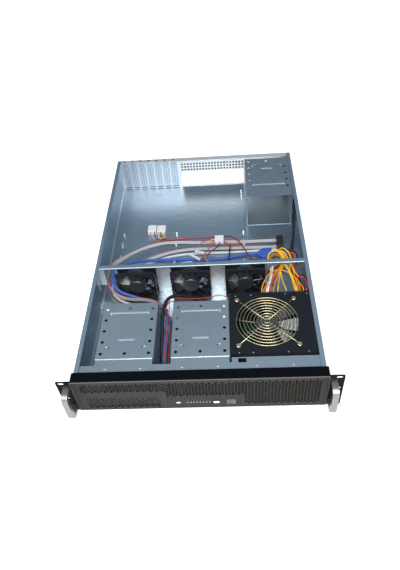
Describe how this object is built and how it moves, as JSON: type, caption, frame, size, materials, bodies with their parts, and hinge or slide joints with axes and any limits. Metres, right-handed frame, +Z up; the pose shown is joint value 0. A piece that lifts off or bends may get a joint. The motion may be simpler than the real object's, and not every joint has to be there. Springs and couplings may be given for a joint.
{
  "type": "rackmount server case",
  "caption": "Open-top two-unit rackmount server case with front fans behind the drive cages, a front power supply, a perforated bezel, ear handles and its internal cables.",
  "frame": {"origin": "centre of the case's bounding box at its base", "axes": "+X to the right seen from the front, +Y to the rear, +Z up"},
  "size_m": [0.4826, 0.6818, 0.088],
  "materials": {
    "galvanised": "galvanised sheet, blue-grey, satin",
    "bright_steel": "plated steel, bright",
    "black_paint": "black powder coat, fine grain",
    "bezel_paint": "dark bronze-grey powder coat",
    "bay_grey": "dark blue-grey moulding",
    "handle_aluminium": "brushed and anodised",
    "zinc_screw": "zinc plated",
    "brass_wire": "brass-coloured plated wire",
    "nickel": "nickel plated",
    "white_plastic": "natural white nylon",
    "light_pipe": "clear light pipe",
    "black_plastic": "black moulding",
    "fan_plastic": "black glass-filled moulding",
    "blue_plastic": "blue moulding",
    "circuit_board": "green solder mask",
    "black_rubber": "black cable sheath",
    "ribbon_grey": "grey ribbon with a red edge",
    "blue_sheath": "blue cable sheath",
    "yellow_wire": "yellow and orange wire insulation",
    "red_wire": "red wire insulation"
  },
  "bodies": {
    "case": {"ac_lead": "black_rubber", "ac_plug": "black_rubber", "base_tray": "galvanised", "bay_cover": "bay_grey", "bezel": "bezel_paint", "blue_lead": "blue_sheath", "blue_plug": "blue_plastic", "board_studs": "zinc_screw", "case_screws": "zinc_screw", "control_panel": "bezel_paint", "drive_cage_left": "galvanised", "drive_cage_middle": "galvanised", "drive_cage_rear": "galvanised", "drive_power_lead": "red_wire", "drive_power_plug": "white_plastic", "fan_frame_1": "fan_plastic", "fan_frame_2": "fan_plastic", "fan_frame_3": "fan_plastic", "fan_power_lead": "red_wire", "fan_power_plug": "white_plastic", "fan_screws": "zinc_screw", "fan_wall": "galvanised", "front_board": "circuit_board", "front_frame": "galvanised", "front_lead": "black_rubber", "front_panel": "black_paint", "grey_lead": "ribbon_grey", "handle_left": "handle_aluminium", "handle_right": "handle_aluminium", "loom_left": "yellow_wire", "loom_right": "yellow_wire", "main_power_plug": "black_plastic", "psu_board": "circuit_board", "psu_case": "black_paint", "psu_fan_frame": "fan_plastic", "psu_grille": "brass_wire", "psu_grille_screws": "brass_wire", "psu_inlet": "black_plastic", "psu_lid": "black_paint", "rear_inlet": "black_plastic", "rear_panel": "galvanised", "ribbon_lower": "ribbon_grey", "ribbon_upper": "ribbon_grey", "signal_plug": "black_plastic", "slot_cover_1": "bright_steel", "slot_cover_2": "bright_steel", "slot_cover_3": "bright_steel", "slot_cover_4": "bright_steel", "slot_cover_5": "bright_steel", "slot_cover_6": "bright_steel", "slot_cover_7": "bright_steel", "status_lights": "light_pipe", "usb_ports": "nickel"},
    "fan_rotor_1": {"fan_rotor_1": "fan_plastic"},
    "fan_rotor_2": {"fan_rotor_2": "fan_plastic"},
    "fan_rotor_3": {"fan_rotor_3": "fan_plastic"},
    "psu_fan_rotor": {"psu_fan_rotor": "fan_plastic"},
    "power_button": {"power_button": "white_plastic"},
    "reset_button": {"reset_button": "white_plastic"},
    "psu_switch": {"psu_switch": "black_plastic"}
  },
  "joints": [
    {"name": "fan_spin_1", "type": "hinge", "parent": "case", "child": "fan_rotor_1", "pos_m": [-0.13265, -0.0469, 0.043], "axis": [0, 1, 0], "continuous": true},
    {"name": "fan_spin_2", "type": "hinge", "parent": "case", "child": "fan_rotor_2", "pos_m": [-0.022, -0.0469, 0.043], "axis": [0, 1, 0], "continuous": true},
    {"name": "fan_spin_3", "type": "hinge", "parent": "case", "child": "fan_rotor_3", "pos_m": [0.08865, -0.0469, 0.043], "axis": [0, 1, 0], "continuous": true},
    {"name": "psu_fan_spin", "type": "hinge", "parent": "case", "child": "psu_fan_rotor", "pos_m": [0.1223, -0.1929, 0.073], "axis": [0, 0, 1], "continuous": true},
    {"name": "power_press", "type": "slide", "parent": "case", "child": "power_button", "axis": [0, 1, 0], "range_m": [0, 0.0015], "stiffness_N_per_m": 300, "springref_m": -0.001},
    {"name": "reset_press", "type": "slide", "parent": "case", "child": "reset_button", "axis": [0, 1, 0], "range_m": [0, 0.0015], "stiffness_N_per_m": 200, "springref_m": -0.001},
    {"name": "psu_switch_rock", "type": "hinge", "parent": "case", "child": "psu_switch", "pos_m": [0.13, -0.2589, 0.028], "axis": [1, 0, 0], "range_deg": [-8, 8]}
  ]
}
